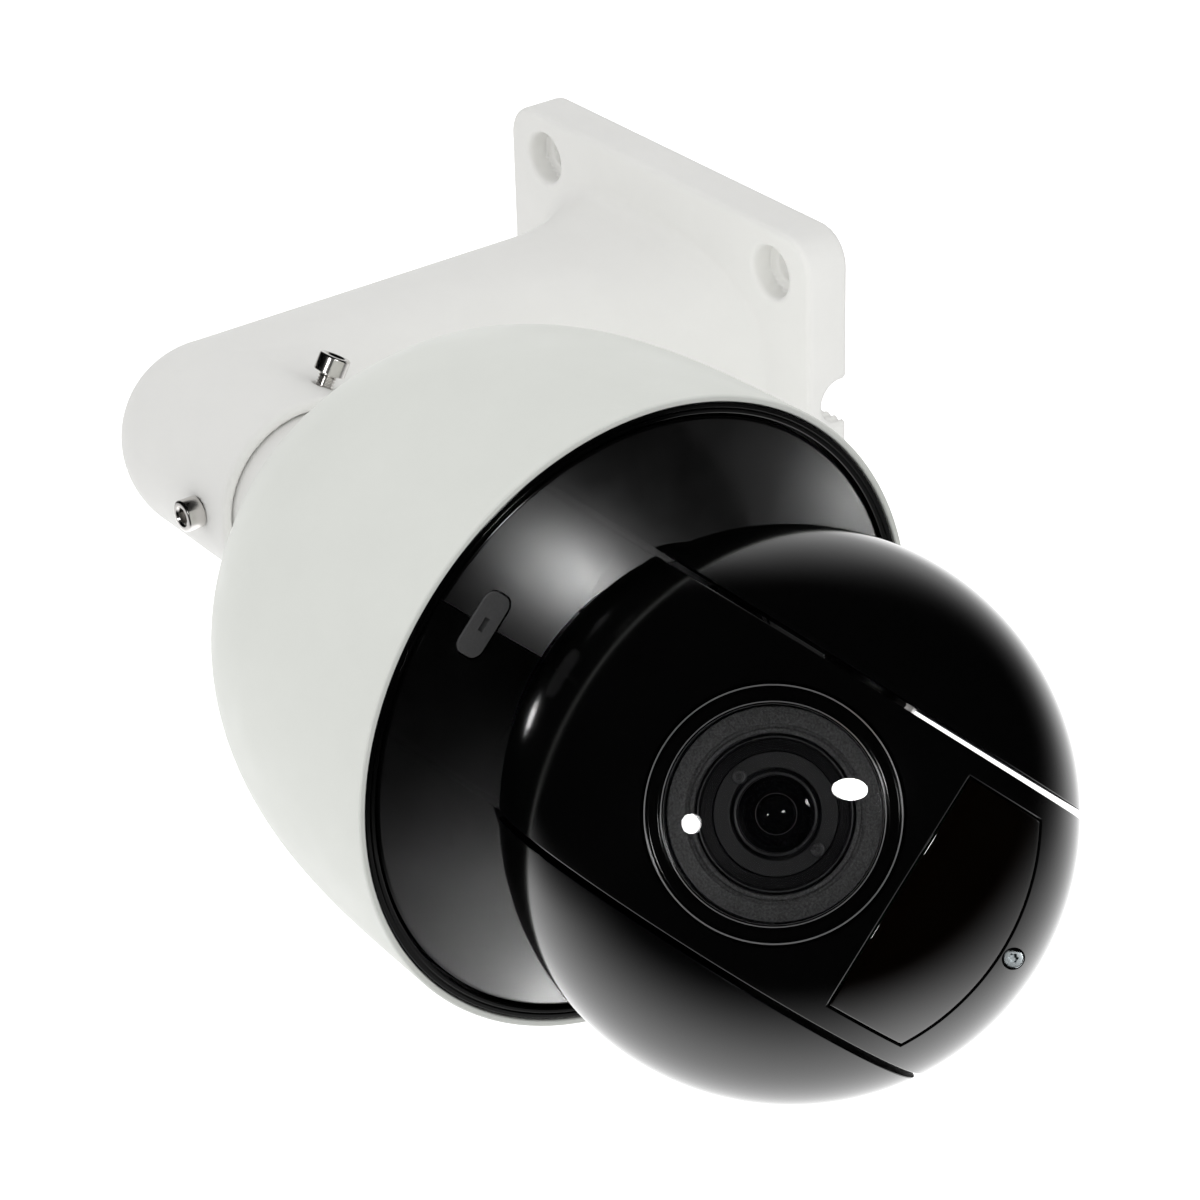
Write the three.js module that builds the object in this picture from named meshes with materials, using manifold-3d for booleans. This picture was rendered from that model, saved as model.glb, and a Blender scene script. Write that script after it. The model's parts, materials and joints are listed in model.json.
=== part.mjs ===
// A wall-hung pan and tilt camera: a cast bracket carries a bell housing, and a ball head turns and nods below it.
// Millimetres, +Z up. The origin is the centre of the wall plate's back face and +Y goes into the wall.
import * as THREE from "three";
import { mergeVertices } from "three/addons/utils/BufferGeometryUtils.js";
import Module from "manifold-3d";

const wasm = await Module();
wasm.setup();

const { PI, abs, asin, cos, max, sign, sin } = Math;
const rad = THREE.MathUtils.degToRad;

// ---- driving dimensions ----
const GAP = 0.3; // left between pieces that touch
const REACH = 142.5; // wall face to pan axis
const DROP = 164.15; // plate centre down to the housing's rim
const HEADING = 43; // pan rest angle, degrees
const NOD = 38; // tilt rest angle of the lens below the horizon, degrees

const PLATE = { width: 98, height: 134, thick: 13.6, corner: 10, pocketX: 27, pocketZ: 50, pocketDepth: 9 };
const HOLE = { x: 36, z: 51, radius: 4, sinkRadius: 7.25, sinkDepth: 6 };
const NOTCH = { radius: 6.7, inset: 1.8 };
const ARM = { rise: 22.35, radius: 25.5, bore: 19.8 };
const CUP = { radius: 25.9, bottom: 143, mouth: 23.7, step: 147, bore: 21 };
const CLAMP = { z: 154.7, turns: [270, 150, 30], lifts: [0, 0, 3.2], names: ["front", "left", "right"] };
const COLLAR = { radius: 23.3, spigot: 20.7, groove: 18.5, bore: 15, bottom: 134, top: 172 };

const SHELL = { outer: 80, rimInner: 78.3, step: 6, wall: 3, neck: 24.2, top: 133.5, hole: 14 };
const BASE = { radius: 75.4, z0: 24, z1: 27 };
const BEARING = { inner: 14.3, middle: 18.2, race: 20, outer: 24, z0: 23.5, z1: 30.5 };
const MOTOR = { half: 17.5, top: 61, shaft: 2.5 };
const BOARDS = { main: 72, mainRadius: 58, power: 92, powerRadius: 42, thick: 1.6, postCircle: 38 };
const SLIP_RING = { rotor: 8.8, stator: 14 };

const BALL = { radius: 64.4, drop: 51.86, wall: 2.5 };
const DRUM_HALF = 33; // half the width of the nodding slice
const CAP_START = 34.6; // the fixed caps begin a slit away from the slice
const TABLE = { radius: 74.6, z0: 0.8, z1: 3.3, lip: 9, rim: 2.2, opening: 39, neck: 44 };
const PLUG = { long: 15.9, wide: 8.5, out: 59.9 };
const FRAME = { radius: 62, z0: 15, z1: 17.5, arm0: 37.4, arm1: 39.4, half: 11.5 };
const HUB = 12;
const SPLIT = 4; // seam plane of the slice behind the tilt axis

const LENS = { hole: 27.4, bezel: 27.1, window: 22.6, barrel: 16.4, recess: 8.9 };
const IR = { half: 27.9, top: -30.5, front: 33 };
const SCREW = { down: 58.3, pocket: 2.5, boss: 4.2, seat: 21 };

const BELT = { pitch: 2, thick: 1.1 };
const PAN_DRIVE = { wheel: 96, pinion: 16, centres: 46, z0: 19.7, z1: 23.2 };
const TILT_DRIVE = { wheel: 45, pinion: 15, centres: 22, u0: 39.9, u1: 43.2 };
const pitchRadius = (teeth) => (teeth * BELT.pitch) / (2 * PI);

// ---- solids: each helper returns a closed BufferGeometry ----
function solidOf(geometry) {
  const plain = geometry.clone();
  plain.deleteAttribute("normal");
  plain.deleteAttribute("uv");
  const merged = mergeVertices(plain, 1e-4);
  return new wasm.Manifold(
    new wasm.Mesh({
      numProp: 3,
      vertProperties: merged.attributes.position.array,
      triVerts: new Uint32Array(merged.index.array),
    }),
  );
}

function geometryOf(solid) {
  const mesh = solid.getMesh();
  return new THREE.BufferGeometry()
    .setAttribute("position", new THREE.BufferAttribute(mesh.vertProperties, 3))
    .setIndex(new THREE.BufferAttribute(mesh.triVerts, 1));
}

const join = (first, ...rest) => geometryOf(rest.reduce((s, g) => s.add(solidOf(g)), solidOf(first)));
const cut = (first, ...rest) => geometryOf(rest.reduce((s, g) => s.subtract(solidOf(g)), solidOf(first)));
const meet = (first, ...rest) => geometryOf(rest.reduce((s, g) => s.intersect(solidOf(g)), solidOf(first)));

function box(x0, x1, y0, y1, z0, z1) {
  return new THREE.BoxGeometry(x1 - x0, y1 - y0, z1 - z0).translate((x0 + x1) / 2, (y0 + y1) / 2, (z0 + z1) / 2);
}

// A turned piece about Z. Its corners are [radius, height], outer side upwards; an open outline closes on itself.
function turned(corners, segments = 20) {
  const points = corners.map(([r, z]) => new THREE.Vector2(r, z));
  const onAxis = points[0].x === 0 && points[points.length - 1].x === 0;
  if (!onAxis) points.push(points[0].clone());
  return new THREE.LatheGeometry(points, segments).rotateX(PI / 2);
}

function ring(inner, outer, z0, z1, segments) {
  return turned([[inner, z0], [outer, z0], [outer, z1], [inner, z1]], segments);
}

function disc(radius, z0, z1, segments) {
  return turned([[0, z0], [radius, z0], [radius, z1], [0, z1]], segments);
}

const towardsPlusX = (geometry) => geometry.rotateY(PI / 2);
const towardsMinusX = (geometry) => geometry.rotateY(-PI / 2);
const forward = (geometry) => geometry.rotateX(PI / 2); // heights become distances towards -Y
const polar = (radius, turn) => [radius * cos(rad(turn)), radius * sin(rad(turn))];

// [radius, height] points on a circle round the axis point [0, centre], angles from the horizontal.
function arc(radius, from, to, steps, centre = 0) {
  return Array.from({ length: steps + 1 }, (_, i) => {
    const a = from + ((to - from) * i) / steps;
    return [a === PI / 2 ? 0 : radius * cos(a), centre + radius * sin(a)];
  });
}

function roundedRectangle(width, height, corner) {
  const x = width / 2 - corner;
  const y = height / 2 - corner;
  const shape = new THREE.Shape();
  shape.absarc(x, y, corner, 0, PI / 2);
  shape.absarc(-x, y, corner, PI / 2, PI);
  shape.absarc(-x, -y, corner, PI, 1.5 * PI);
  shape.absarc(x, -y, corner, 1.5 * PI, 2 * PI);
  return shape;
}

function plate(shape, thick, curveSegments) {
  return new THREE.ExtrudeGeometry(shape, { depth: thick, bevelEnabled: false, curveSegments });
}

// A skin through closed rings of points, with a flat fan at both ends.
function lofted(rings) {
  const count = rings[0].length;
  const last = (rings.length - 1) * count;
  const middle = (points) => points.reduce((s, p) => s.add(p), new THREE.Vector3()).divideScalar(count);
  const points = [...rings.flat(), middle(rings[0]), middle(rings[rings.length - 1])];
  const startFan = rings.length * count;
  const index = [];
  for (let j = 0; j < count; j++) {
    const k = (j + 1) % count;
    index.push(startFan, j, k, startFan + 1, last + k, last + j);
    for (let a = 0; a < last; a += count) {
      index.push(a + j, a + count + j, a + k, a + k, a + count + j, a + count + k);
    }
  }
  return new THREE.BufferGeometry().setFromPoints(points).setIndex(index);
}

// A belt round a wheel at the origin and a pinion up +Y, GAP clear of both.
function beltLoop(drive, z0, z1) {
  const wheel = pitchRadius(drive.wheel);
  const pinion = pitchRadius(drive.pinion) - GAP;
  const lean = asin((wheel - pinion) / drive.centres);
  const outline = (offset) => {
    const path = new THREE.Path();
    path.absarc(0, drive.centres, pinion + offset, lean, PI - lean);
    path.absarc(0, 0, wheel + offset, PI - lean, 2 * PI + lean);
    return path.getPoints(8);
  };
  const shape = new THREE.Shape(outline(GAP + BELT.thick));
  shape.holes.push(new THREE.Path(outline(GAP)));
  return plate(shape, z1 - z0, 1).translate(0, 0, z0);
}

// The slice of a ball between two planes across X.
function ballSlice(radius, from, to, segments, steps) {
  const end = to >= radius ? PI / 2 : asin(to / radius);
  const outline = arc(radius, asin(from / radius), end, steps);
  if (end < PI / 2) outline.push([0, to]);
  return towardsPlusX(turned([[0, from], ...outline], segments));
}

// ---- finishes ----
const finish = (color, roughness, metalness) => new THREE.MeshStandardMaterial({ color, roughness, metalness });
const FINISH = {
  bracketPaint: finish(0xe4e3de, 0.5, 0.0),
  housingPaint: finish(0xdfe2dc, 0.42, 0.0),
  blackGloss: finish(0x0b0b0c, 0.08, 0.0),
  blackMatt: finish(0x171718, 0.6, 0.0),
  rubber: finish(0x3c3c3c, 0.7, 0.0),
  steel: finish(0xc4c4c2, 0.25, 1.0),
  aluminium: finish(0xaeb1b3, 0.4, 1.0),
  board: finish(0x0f4a2a, 0.5, 0.0),
  glass: finish(0x14161a, 0.03, 0.0),
  motor: finish(0x2a2b2d, 0.45, 0.6),
  lamp: finish(0xd8dadc, 0.1, 0.0),
  shroud: finish(0x6b6b68, 0.55, 0.3),
};

// ---- groups ----
const root = new THREE.Group();
const body = new THREE.Group(); // centre of the housing's rim
body.position.set(0, -REACH, -DROP);
root.add(body);
const head = new THREE.Group(); // turns about the housing's axis
head.rotation.z = rad(HEADING);
body.add(head);
const yoke = new THREE.Group(); // centre of the ball, X along the tilt axis
yoke.position.z = -BALL.drop;
head.add(yoke);
const drum = new THREE.Group(); // nods about X, lens towards -Y
drum.rotation.x = rad(NOD);
yoke.add(drum);
const lamp = new THREE.Group(); // faces the middle of the infrared window
lamp.rotation.x = rad(45);
drum.add(lamp);

function add(group, name, geometry, look) {
  const mesh = new THREE.Mesh(geometry, look.clone());
  mesh.name = name;
  group.add(mesh);
  return mesh;
}

// ---- wall bracket ----
// The arm is round and swells into the plate, most of all downwards. Distance is from the plate's front.
function armRing(distance, segments = 20) {
  const swell = (length, power) => max(0, 1 - distance / length) ** power;
  const half = ARM.radius + 6 * swell(25, 2.5);
  const above = ARM.radius + 4 * swell(14, 2);
  const below = ARM.radius + 42 * swell(62, 2.6);
  return Array.from({ length: segments }, (_, i) => {
    const a = (2 * PI * i) / segments;
    const squareness = 2 / (2 + (sin(a) < 0 ? swell(62, 2) : 0));
    const x = sign(cos(a)) * abs(cos(a)) ** squareness;
    const z = sign(sin(a)) * abs(sin(a)) ** squareness;
    return new THREE.Vector3(half * x, -PLATE.thick - distance, ARM.rise + (z > 0 ? above : below) * z);
  });
}

function wallBracket() {
  const slab = plate(roundedRectangle(PLATE.width, PLATE.height, PLATE.corner), PLATE.thick, 4).rotateX(PI / 2);
  const rings = [REACH - PLATE.thick, 62, 38, 22, 12, 5, 0].map((distance) => armRing(distance));
  rings.push(armRing(0).map((p) => p.setY(2 - PLATE.thick)));
  const elbow = DROP + ARM.rise;
  const cup = turned([[0, CUP.bottom], [CUP.radius, CUP.bottom], ...arc(CUP.radius, 0, PI / 2, 4, elbow)], 24);
  const cupBore = turned([
    [0, CUP.bottom - 1], [CUP.mouth, CUP.bottom - 1], [CUP.mouth, CUP.step], [CUP.bore, CUP.step],
    ...arc(CUP.bore, 0, PI / 2, 3, elbow),
  ]);
  const armBore = forward(disc(ARM.bore, PLATE.thick - 6, REACH)).translate(0, 0, ARM.rise);
  const pocket = box(-PLATE.pocketX, PLATE.pocketX, -PLATE.pocketDepth, 1, -PLATE.pocketZ, PLATE.pocketZ);
  const notch = disc(NOTCH.radius, -PLATE.height / 2 - 1, 1 - PLATE.pocketZ, 20).translate(0, -NOTCH.inset, 0);
  const seat = PLATE.thick - HOLE.sinkDepth;
  const holes = [[1, 1], [1, -1], [-1, 1], [-1, -1]].map(([x, z]) => forward(turned([
    [0, -1], [HOLE.radius, -1], [HOLE.radius, seat], [HOLE.sinkRadius, seat], [HOLE.sinkRadius, 20], [0, 20],
  ], 16)).translate(x * HOLE.x, 0, z * HOLE.z));
  const taps = CLAMP.turns.map((turn) =>
    towardsPlusX(disc(2.8, 19, 30, 10)).rotateZ(rad(turn)).translate(0, -REACH, CLAMP.z - DROP));
  const onPanAxis = (geometry) => geometry.translate(0, -REACH, -DROP);
  return cut(join(slab, lofted(rings), onPanAxis(cup)), onPanAxis(cupBore), armBore, pocket, notch, ...holes, ...taps);
}

// A socket head cap screw that points at the axis from +X, its head's underside at `seat`.
function clampScrew(seat) {
  const tip = seat - 7;
  const head = 4.8;
  return towardsPlusX(turned([
    [0, tip], [1.9, tip], [2.5, tip + 0.7], [2.5, seat], [4.25, seat], [4.25, seat + head - 0.3],
    [3.9, seat + head], [2.3, seat + head], [2.3, seat + 2.4], [0, seat + 2],
  ], 12));
}

function neckCollar() {
  return turned([
    [COLLAR.bore, 136.3], [20.3, 136.3], [20.3, COLLAR.bottom], [COLLAR.radius, COLLAR.bottom],
    [COLLAR.radius, CUP.step - GAP], [COLLAR.spigot, CUP.step - GAP], [COLLAR.spigot, CLAMP.z - 3],
    [COLLAR.groove, CLAMP.z - 3], [COLLAR.groove, CLAMP.z + 3], [COLLAR.spigot, CLAMP.z + 3],
    [COLLAR.spigot, COLLAR.top], [COLLAR.bore, COLLAR.top],
  ]);
}

// ---- fixed housing ----
const FLARE = new THREE.CubicBezierCurve(...[[79.6, 14], [78.7, 48], [75.7, 73.5], [60.5, 93]]
  .map(([r, z]) => new THREE.Vector2(r, z)));
const SHOULDER = new THREE.QuadraticBezierCurve(...[[60.5, 93], [44.1, 114.1], [SHELL.neck, SHELL.top]]
  .map(([r, z]) => new THREE.Vector2(r, z)));

function housingShell() {
  const outer = [];
  const inner = [];
  const follow = (curve, steps, first) => {
    for (let i = first; i <= steps; i++) {
      const point = curve.getPoint(i / steps);
      const along = curve.getTangent(i / steps);
      outer.push([point.x, point.y]);
      inner.push([point.x - SHELL.wall * along.y, point.y + SHELL.wall * along.x]);
    }
  };
  follow(FLARE, 4, 0);
  follow(SHOULDER, 3, 1);
  inner[inner.length - 1] = [SHELL.hole, SHELL.top - SHELL.wall];
  inner.splice(inner.length - 1, 0, [SHELL.neck, SHELL.top - SHELL.wall]);
  return turned([
    [SHELL.rimInner, 0], [SHELL.outer, 0], ...outer, [SHELL.hole, SHELL.top], ...inner.reverse(),
    [76.6, SHELL.step], [SHELL.rimInner, SHELL.step],
  ], 32);
}

function cableGland() {
  return turned([
    [5, 124.6], [18, 124.6], [18, 130.1], [13.6, 130.1], [13.6, 144], [12, 144], [12, 150], [5, 150],
  ], 16);
}

function basePlate() {
  const shaftHole = disc(8, BASE.z0 - 1, BASE.z1 + 1, 12).translate(0, PAN_DRIVE.centres, 0);
  return cut(ring(BEARING.outer + GAP, BASE.radius, BASE.z0, BASE.z1, 32), shaftHole);
}

function panMotor() {
  const can = box(-MOTOR.half, MOTOR.half, -MOTOR.half, MOTOR.half, BASE.z1 + GAP, MOTOR.top);
  return join(can, disc(MOTOR.shaft, PAN_DRIVE.z0 + 0.2, BASE.z1 + 2, 12)).translate(0, PAN_DRIVE.centres, 0);
}

const POST_TURNS = [30, 150, 270];

function mainBoard() {
  const top = BOARDS.main + 1;
  const sheet = ring(17, BOARDS.mainRadius, BOARDS.main, BOARDS.main + BOARDS.thick, 24);
  const processor = box(20, 36, -30, -14, top, top + 3);
  const memory = box(-44, -34, -22, -6, top, top + 2.4);
  const socket = box(-12, 8, 36, 50, top, top + 11);
  const holes = POST_TURNS.map((turn) =>
    disc(3.4, 70, 76, 8).translate(...polar(BOARDS.postCircle, turn), 0));
  return cut(join(sheet, processor, memory, socket), ...holes);
}

function powerBoard() {
  const top = BOARDS.power + 1;
  const sheet = disc(BOARDS.powerRadius, BOARDS.power, BOARDS.power + BOARDS.thick, 24);
  const transformer = box(-14, 6, -10, 12, top, top + 14);
  const capacitors = [-12, 4].map((y) => disc(5, top, top + 12, 10).translate(19, y, 0));
  return join(sheet, transformer, ...capacitors);
}

// ---- turning head ----
function ballAt(from, to, radius, segments, steps) {
  return ballSlice(radius, from, to, segments, steps).translate(0, 0, -BALL.drop);
}

// Half the turntable with its fixed cap, as moulded, on the +X side.
function yokeHalf() {
  const sideOf = (x) => box(x, 90, -90, 90, -140, 20);
  const table = turned([
    [0, TABLE.z0], [TABLE.radius, TABLE.z0], [TABLE.radius, TABLE.lip], [TABLE.radius - TABLE.rim, TABLE.lip],
    [TABLE.radius - TABLE.rim, TABLE.z1], [0, TABLE.z1],
  ], 32);
  const neck = meet(disc(TABLE.neck, -14, TABLE.z1 - 0.5, 28), sideOf(CAP_START));
  const cap = ballAt(CAP_START, BALL.radius, BALL.radius, 28, 5);
  const inside = CAP_START + BALL.wall - 0.1;
  const hollow = ballAt(inside, BALL.radius, BALL.radius - BALL.wall, 24, 4);
  const passage = meet(disc(TABLE.neck - 2.2, -40, TABLE.lip, 24), sideOf(inside));
  const opening = meet(disc(TABLE.opening, -2, TABLE.lip, 28), box(-CAP_START, CAP_START, -60, 60, -3, TABLE.lip));
  const hubHole = towardsPlusX(disc(HUB + 0.4, CAP_START - 2, inside + 2)).translate(0, 0, -BALL.drop);
  return cut(meet(join(table, neck, cap), sideOf(GAP / 2)), opening, hollow, passage, hubHole);
}

function plugBlock(grow, z0, z1) {
  const outline = roundedRectangle(PLUG.long + 2 * grow, PLUG.wide + 2 * grow, 2.6 + grow);
  return plate(outline, z1 - z0, 3).translate(0, -PLUG.out, z0);
}

function coverPlug() {
  const slot = box(-2.1, 2.1, -PLUG.out - 0.55, -PLUG.out + 0.55, 0, 2);
  return cut(plugBlock(0, TABLE.z0, TABLE.z1 + 2), slot);
}

function yokeFrame() {
  const deck = ring(9.7, FRAME.radius, FRAME.z0, FRAME.z1, 28);
  const leg = box(FRAME.arm0, FRAME.arm1, -FRAME.half, FRAME.half, -BALL.drop, FRAME.z0 + 1);
  const across = (geometry) => towardsPlusX(geometry).translate(0, 0, -BALL.drop);
  const eye = across(disc(19, FRAME.arm0, FRAME.arm1));
  const eyeHole = across(disc(16.3, FRAME.arm0 - 1, FRAME.arm1 + 1));
  const arm = cut(join(leg, eye), eyeHole);
  return join(deck, arm, arm.clone().rotateZ(PI));
}

// A flat can held to the frame's arm by two pillars, its shaft through the pulley; heights run outwards.
function tiltMotor() {
  const can = disc(12.5, 43.6, 50.3, 16);
  const shaft = disc(1.5, 39.8, 44, 8);
  const pillars = [-9.8, 9.8].map((y) => disc(2, FRAME.arm1 + GAP, 44, 8).translate(0, y, 0));
  return join(can, shaft, ...pillars);
}

function tiltShaft(end) {
  return turned([
    [7, 27.9], [14, 27.9], [14, 30.1], [HUB, 30.1], [HUB, 37.2], [HUB - 0.2, 37.2], [HUB - 0.2, end], [7, end],
  ]);
}

// ---- nodding slice ----
function screwCylinder(radius, from, to) {
  return forward(disc(radius, from, to, 12)).translate(0, 0, -SCREW.down);
}

// The slice's skin in front of or behind its seam, with half the screw boss.
function drumSkin(y0, y1) {
  const skin = meet(ballSlice(BALL.radius, -DRUM_HALF, DRUM_HALF, 36, 5), box(-50, 50, y0, y1, -80, 80));
  const inside = DRUM_HALF - BALL.wall;
  const hollow = ballSlice(BALL.radius - BALL.wall, -inside, inside, 24, 3);
  const boss = meet(screwCylinder(SCREW.boss, -14, 40), skin);
  const hubs = towardsPlusX(disc(HUB + 0.4, -40, 40));
  return cut(join(cut(skin, hollow), boss), hubs);
}

function drumFront() {
  const lensHole = forward(disc(LENS.hole, 40, 80, 28));
  const side = IR.half + GAP;
  const windowHole = box(-side, side, -80, GAP - IR.front, -80, IR.top + GAP);
  const pocket = screwCylinder(SCREW.pocket, SCREW.seat, 50);
  const drill = screwCylinder(1.5, -30, SCREW.seat + 1);
  return cut(drumSkin(-80, SPLIT - GAP / 2), lensHole, windowHole, pocket, drill);
}

function drumRear() {
  return cut(drumSkin(SPLIT + GAP / 2, 80), screwCylinder(1.5, -11, 0));
}

function drumScrew() {
  const top = SCREW.seat + 2.8;
  return forward(turned([
    [0, -9.5], [1.2, -9.5], [1.2, SCREW.seat + GAP], [2.2, SCREW.seat + GAP], [2.2, top], [1.1, top],
    [1.1, top - 1.2], [0, top - 1.2],
  ], 8)).translate(0, 0, -SCREW.down);
}

function irWindow() {
  const outer = ballSlice(BALL.radius - 0.1, -IR.half, IR.half, 36, 4);
  const inner = ballSlice(BALL.radius - BALL.wall + 0.2, -IR.half - 1, IR.half + 1, 36, 3);
  return cut(meet(outer, box(-IR.half, IR.half, -80, -IR.front, -80, IR.top)), inner);
}

function irLamp(x) {
  const dome = arc(4.5, 0, PI / 2, 3).map(([r, z]) => [r, z * 0.8 + 1.4]);
  return forward(turned([[0, 0], [4.5, 0], ...dome], 10).translate(x, 0, 51.1));
}

function lensBezel() {
  return forward(turned([
    [LENS.window + GAP, 50], [29.5, 50], [29.5, 52], [LENS.bezel, 52], [LENS.bezel, 58.1], [25.9, 58.5],
    [LENS.window + GAP, 57.4],
  ], 28));
}

function lensWindow() {
  const skin = (radius) => arc(radius, Math.acos(LENS.window / radius), PI / 2, 5);
  return forward(turned([...skin(61.4).reverse(), ...skin(63)], 28));
}

function lensBarrel() {
  const r = LENS.barrel;
  return forward(turned([
    [0, 8], [r, 8], [r, 51], [r - 1.6, 51], [r - 2, 50], [r - 4, 50], [r - 4.4, 49], [LENS.recess, 48.4],
    [LENS.recess, 41], [0, 41],
  ]));
}

function lensElement() {
  const dome = arc(14, PI / 3.3, PI / 2, 3, 34.2);
  return forward(turned([[0, 41.3], [8.2, 41.3], [8.2, dome[0][1]], ...dome], 16));
}

function drumChassis() {
  const cheeks = [-27.6, 24].map((x) => box(x, x + 3.6, -15, 28, -23, 15));
  const eyes = towardsPlusX(disc(7, -30, 30, 16));
  return cut(join(box(-27.6, 27.6, -15, 28, -23, -20.5), ...cheeks), eyes);
}

// ---- assembly: bracket and neck ----
add(root, "wall_bracket", wallBracket(), FINISH.bracketPaint);
CLAMP.turns.forEach((turn, i) => {
  const seat = CUP.radius + GAP + CLAMP.lifts[i];
  const screw = add(body, "clamp_screw_" + CLAMP.names[i], clampScrew(seat), FINISH.steel);
  screw.position.z = CLAMP.z;
  screw.rotation.z = rad(turn);
});
add(body, "neck_collar", neckCollar(), FINISH.bracketPaint);
add(body, "neck_gasket", ring(17, 20, SHELL.top + GAP, 136), FINISH.rubber);

// ---- assembly: fixed housing ----
add(body, "housing_shell", housingShell(), FINISH.housingPaint);
add(body, "rim_bezel", ring(75.4, 78, 0.4, 5.7, 32), FINISH.blackGloss);
add(body, "rim_seal", ring(75.2, 76.2, 6.1, 9, 32), FINISH.rubber);
add(body, "cable_gland", cableGland(), FINISH.blackMatt);
add(body, "base_plate", basePlate(), FINISH.aluminium);
add(body, "pan_bearing_outer", ring(BEARING.race, BEARING.outer, BEARING.z0, BEARING.z1, 32), FINISH.steel);
add(body, "pan_motor", panMotor(), FINISH.motor);
add(body, "main_board", mainBoard(), FINISH.board);
add(body, "power_board", powerBoard(), FINISH.board);
POST_TURNS.forEach((turn, i) => {
  const post = add(body, "board_post_" + (i + 1), disc(3, BASE.z1 + GAP, BOARDS.power - GAP, 8), FINISH.steel);
  post.position.set(...polar(BOARDS.postCircle, turn), 0);
});
add(body, "slip_ring_stator", ring(SLIP_RING.rotor + 0.5, SLIP_RING.stator, 66, 91.7, 16), FINISH.blackMatt);
add(body, "pan_belt", beltLoop(PAN_DRIVE, PAN_DRIVE.z0 + 0.2, PAN_DRIVE.z1 - 0.2), FINISH.rubber);
const panPinion = ring(MOTOR.shaft + GAP, pitchRadius(PAN_DRIVE.pinion) - GAP, PAN_DRIVE.z0 + 0.2, PAN_DRIVE.z1, 12);
add(body, "pan_motor_pulley", panPinion, FINISH.aluminium).position.y = PAN_DRIVE.centres;

// ---- assembly: turning head ----
[[1, "right"], [-1, "left"]].forEach(([side, name]) => {
  const half = side > 0 ? yokeHalf() : yokeHalf().rotateZ(PI);
  add(head, "yoke_shell_" + name, cut(half, plugBlock(GAP, 0, 8)), FINISH.blackGloss);
});
add(head, "cover_plug", coverPlug(), FINISH.rubber);
add(head, "yoke_frame", yokeFrame(), FINISH.aluminium);
[30, 150, 210, 330].forEach((turn, i) => {
  const post = add(head, "turntable_post_" + (i + 1), disc(3.5, TABLE.z1 + GAP, FRAME.z0 - GAP, 8), FINISH.aluminium);
  post.position.set(...polar(56, turn), 0);
});
add(head, "pan_shaft", turned([
  [10, FRAME.z1 + GAP], [24, FRAME.z1 + GAP], [24, 19.4], [14, 19.4], [14, 60], [10, 60],
]), FINISH.aluminium);
const panWheel = ring(BEARING.inner, pitchRadius(PAN_DRIVE.wheel) - 0.2, PAN_DRIVE.z0, PAN_DRIVE.z1, 28);
add(head, "pan_pulley", panWheel, FINISH.aluminium);
add(head, "pan_bearing_inner", ring(BEARING.inner, BEARING.middle, BEARING.z0, BEARING.z1), FINISH.steel);
add(head, "slip_ring_rotor", turned([
  [0, 60.3], [13.8, 60.3], [13.8, 63], [SLIP_RING.rotor, 63], [SLIP_RING.rotor, 84], [0, 84],
], 16), FINISH.blackMatt);
const bearing = () => ring(HUB + 0.1, 16, FRAME.arm0, FRAME.arm1 + 0.2);
add(yoke, "tilt_bearing_right", towardsPlusX(bearing()), FINISH.steel);
add(yoke, "tilt_bearing_left", towardsMinusX(bearing()), FINISH.steel);
add(yoke, "tilt_motor", towardsMinusX(tiltMotor()), FINISH.motor).position.z = TILT_DRIVE.centres;
const tiltBelt = beltLoop(TILT_DRIVE, TILT_DRIVE.u0 + 0.2, TILT_DRIVE.u1 - 0.2);
add(yoke, "tilt_belt", towardsMinusX(tiltBelt.rotateZ(-PI / 2)), FINISH.rubber);
const tiltPinion = ring(1.8, pitchRadius(TILT_DRIVE.pinion) - GAP, TILT_DRIVE.u0, TILT_DRIVE.u1, 10);
add(yoke, "tilt_motor_pulley", towardsMinusX(tiltPinion), FINISH.aluminium).position.z = TILT_DRIVE.centres;

// ---- assembly: nodding slice ----
add(drum, "drum_front", drumFront(), FINISH.blackGloss);
add(drum, "drum_rear", drumRear(), FINISH.blackGloss);
add(drum, "drum_screw", drumScrew(), FINISH.steel);
add(drum, "lens_bezel", lensBezel(), FINISH.blackGloss);
add(drum, "lens_window", lensWindow(), FINISH.glass);
add(drum, "lens_shroud", forward(ring(LENS.barrel + 0.5, LENS.window, 51.2, 53.2, 28)), FINISH.shroud);
add(drum, "lens_barrel", lensBarrel(), FINISH.blackMatt);
add(drum, "lens_element", lensElement(), FINISH.glass);
add(drum, "zoom_module", box(-22, 22, -7.7, 28, -20, 20), FINISH.motor);
add(drum, "sensor_board", box(-22, 22, 28 + GAP, 28 + GAP + BOARDS.thick, -20, 20), FINISH.board);
add(drum, "drum_chassis", drumChassis(), FINISH.aluminium);
add(drum, "ir_window", irWindow(), FINISH.glass);
add(lamp, "ir_board", box(-25, 25, -50.8, -50.8 + BOARDS.thick, -10, 10), FINISH.board);
[-18, -6, 6, 18].forEach((x, i) => add(lamp, "ir_lamp_" + (i + 1), irLamp(x), FINISH.lamp));
add(drum, "tilt_shaft_right", towardsPlusX(tiltShaft(41.7)), FINISH.steel);
add(drum, "tilt_shaft_left", towardsMinusX(tiltShaft(43.3)), FINISH.steel);
const tiltWheel = ring(HUB + 0.1, pitchRadius(TILT_DRIVE.wheel), TILT_DRIVE.u0, TILT_DRIVE.u1);
add(drum, "tilt_pulley", towardsMinusX(tiltWheel), FINISH.aluminium);

export default root;
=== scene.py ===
"""Looks of a wall-hung pan and tilt camera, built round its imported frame.

Shapes are made in millimetres and placed in metres."""
import json
import math

import bmesh
import bpy
import numpy as np
from mathutils import Matrix, Vector


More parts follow.
